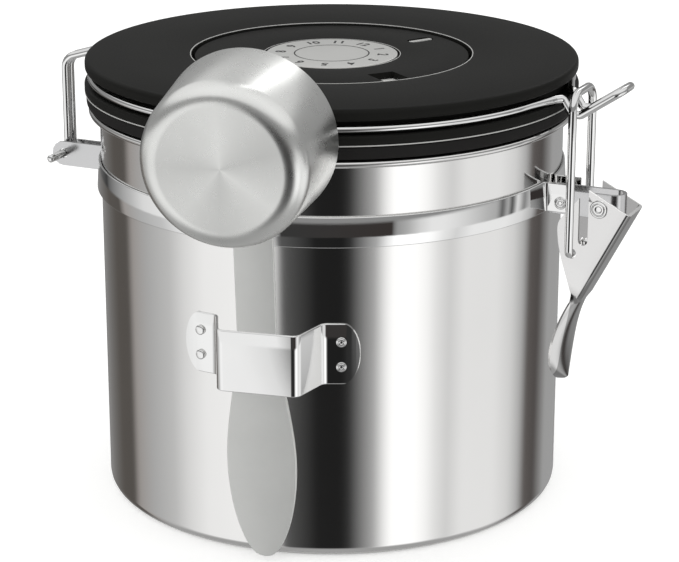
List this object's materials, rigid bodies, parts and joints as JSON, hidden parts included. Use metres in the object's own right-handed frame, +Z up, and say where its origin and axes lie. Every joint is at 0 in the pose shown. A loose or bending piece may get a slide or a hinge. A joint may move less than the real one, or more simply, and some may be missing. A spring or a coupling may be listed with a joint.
{
  "type": "vacuum coffee canister",
  "caption": "Steel coffee canister with clip-top lid, wire bail latch, date dial, one-way gas valve and a scoop held on its side.",
  "frame": {"origin": "centre of the canister's flat base, on the surface it stands on", "axes": "+Z up along the canister's axis, +X towards the latch, -X towards the lid hinge; the scoop hangs ten degrees round from -Y"},
  "size_m": [0.1731, 0.1681, 0.1374],
  "materials": {
    "body_steel": "polished stainless steel with a fine vertical sheen",
    "fitting_steel": "satin pressed stainless steel",
    "wire_steel": "bright drawn wire",
    "plate_steel": "fine satin with printed numbers",
    "scoop_steel": "satin brushed, circular on the cup's bottom",
    "lid_plastic": "satin black moulded plastic",
    "gasket_rubber": "matte black silicone rubber",
    "valve_silicone": "milky silicone rubber",
    "print_white": "printed card-like plastic"
  },
  "bodies": {
    "can": {"canister_body": "body_steel", "clamp_band": "fitting_steel", "band_rivet_front": "wire_steel", "band_rivet_rear": "wire_steel", "hinge_bracket": "fitting_steel", "hinge_keeper": "fitting_steel", "hinge_rivet": "wire_steel", "latch_strap": "fitting_steel", "lever_rivet": "wire_steel", "scoop_holder": "fitting_steel", "holder_stud_1": "wire_steel", "holder_stud_2": "wire_steel", "holder_stud_3": "wire_steel", "holder_stud_4": "wire_steel"},
    "lid": {"lid_cover": "lid_plastic", "lid_base": "lid_plastic", "lid_gasket": "gasket_rubber", "lid_pan": "body_steel", "lid_screw_1": "wire_steel", "lid_screw_2": "wire_steel", "lid_screw_3": "wire_steel", "lid_screw_4": "wire_steel", "lid_wire": "wire_steel", "day_ring": "print_white", "valve_housing": "lid_plastic", "valve_filter": "plate_steel"},
    "dial": {"date_dial": "lid_plastic"},
    "month": {"month_plate": "plate_steel", "stem_clip": "wire_steel"},
    "valve": {"valve_disc": "valve_silicone"},
    "lever": {"latch_lever": "fitting_steel"},
    "bail": {"latch_bail": "wire_steel"},
    "scoop": {"scoop_cup": "scoop_steel", "scoop_handle": "scoop_steel"}
  },
  "joints": [
    {"name": "lid_open", "type": "hinge", "parent": "can", "child": "lid", "pos_m": [-0.0827, 0, 0.0836], "axis": [0, -1, 0], "range_deg": [0, 110]},
    {"name": "dial_turn", "type": "hinge", "parent": "lid", "child": "dial", "pos_m": [0, 0, 0.1184], "axis": [0, 0, 1], "continuous": true},
    {"name": "month_turn", "type": "hinge", "parent": "lid", "child": "month", "pos_m": [0, 0, 0.1184], "axis": [0, 0, 1], "continuous": true},
    {"name": "valve_lift", "type": "slide", "parent": "lid", "child": "valve", "axis": [0, 0, 1], "range_m": [0, 0.0008]},
    {"name": "lever_open", "type": "hinge", "parent": "can", "child": "lever", "pos_m": [0.0786, 0, 0.087], "axis": [0, -1, 0], "range_deg": [0, 95]},
    {"name": "bail_swing", "type": "hinge", "parent": "lever", "child": "bail", "pos_m": [0.0713, 0, 0.0742], "axis": [0, -1, 0], "range_deg": [-65, 0]},
    {"name": "scoop_lift", "type": "slide", "parent": "can", "child": "scoop", "axis": [0.0154, -0.0858, 0.9962], "range_m": [0, 0.1]}
  ],
  "couplings": [
    {"joint": "bail_swing", "follows": "lever_open", "ratio": -0.67}
  ]
}
